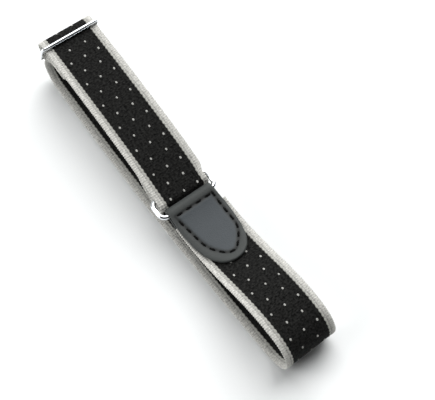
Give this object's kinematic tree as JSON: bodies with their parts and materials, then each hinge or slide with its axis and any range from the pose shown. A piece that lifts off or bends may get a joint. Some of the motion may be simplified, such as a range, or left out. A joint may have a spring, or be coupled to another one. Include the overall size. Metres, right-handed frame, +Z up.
{
  "type": "sleeve garter",
  "caption": "Elastic arm band for holding up a shirt sleeve: a dotted webbing loop with a folded leather tab, an oblong ring and a three-bar slide.",
  "frame": {"origin": "middle of the bounding box in X and Y, on the surface the garter lies on", "axes": "+X along the loop from the slide end to the plain end, +Y across the strap, +Z up"},
  "size_m": [0.1748, 0.0306, 0.0279],
  "materials": {
    "webbing": "ribbed elastic webbing, black with small off-white dots and cream borders",
    "leather": "smooth matt charcoal grey",
    "chrome": "polished"
  },
  "bodies": {
    "root": {"elastic_band": "webbing", "leather_tab": "leather", "ring": "chrome", "slide": "chrome"}
  },
  "joints": []
}
